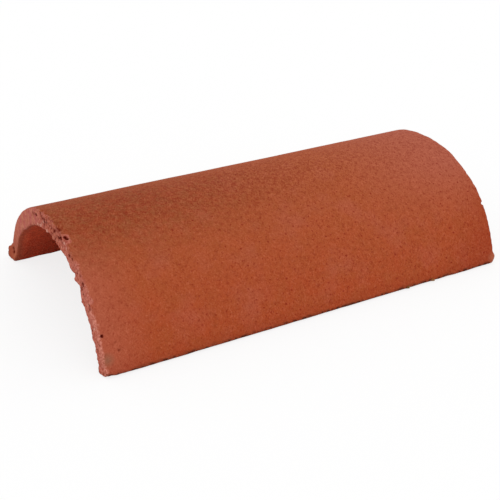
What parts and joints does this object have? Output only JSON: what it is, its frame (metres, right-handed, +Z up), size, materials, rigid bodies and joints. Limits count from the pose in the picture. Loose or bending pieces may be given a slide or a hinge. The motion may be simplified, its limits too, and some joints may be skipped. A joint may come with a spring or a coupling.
{
  "type": "half round ridge tile",
  "caption": "Half round ridge tile of pigmented concrete: an arched shell on level feet that caps a roof's ridge, terracotta outside, paler and rougher on its ends.",
  "frame": {"origin": "on the plane of the feet, under the middle of the tile", "axes": "+X along the ridge, +Z up through the crown, +Y across the ridge"},
  "size_m": [0.45, 0.25, 0.1],
  "materials": {
    "terracotta_concrete": "matte"
  },
  "bodies": {
    "root": {"ridge_tile": "terracotta_concrete"}
  },
  "joints": []
}
